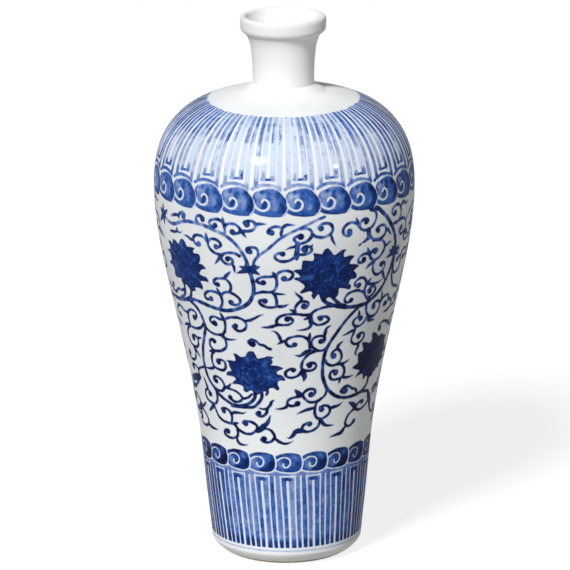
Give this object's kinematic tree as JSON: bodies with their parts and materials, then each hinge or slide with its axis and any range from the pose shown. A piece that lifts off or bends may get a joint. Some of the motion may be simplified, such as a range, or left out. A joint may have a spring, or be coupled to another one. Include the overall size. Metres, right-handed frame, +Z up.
{
  "type": "meiping vase",
  "caption": "Tall porcelain vase with a high round shoulder, short neck, everted lip and slim foot, painted in blue under a white glaze, to stand and hold stems.",
  "frame": {"origin": "centre of the circle on which the foot stands, on the ground", "axes": "+Z up along the vase's axis; -Y is the side that the picture shows"},
  "size_m": [0.1894, 0.1894, 0.4],
  "materials": {
    "painted_glaze": "gloss",
    "white_glaze": "gloss",
    "slip": "matte"
  },
  "bodies": {
    "root": {"foot_ring": "white_glaze", "base_disc": "white_glaze", "lower_wall": "painted_glaze", "lower_belly": "painted_glaze", "upper_belly": "painted_glaze", "shoulder": "painted_glaze", "neck": "white_glaze", "mouth_rim": "white_glaze", "foot_slip": "slip", "base_slip": "slip", "lower_slip": "slip", "belly_slip": "slip", "shoulder_slip": "slip", "neck_slip": "slip", "rim_slip": "slip"}
  },
  "joints": []
}
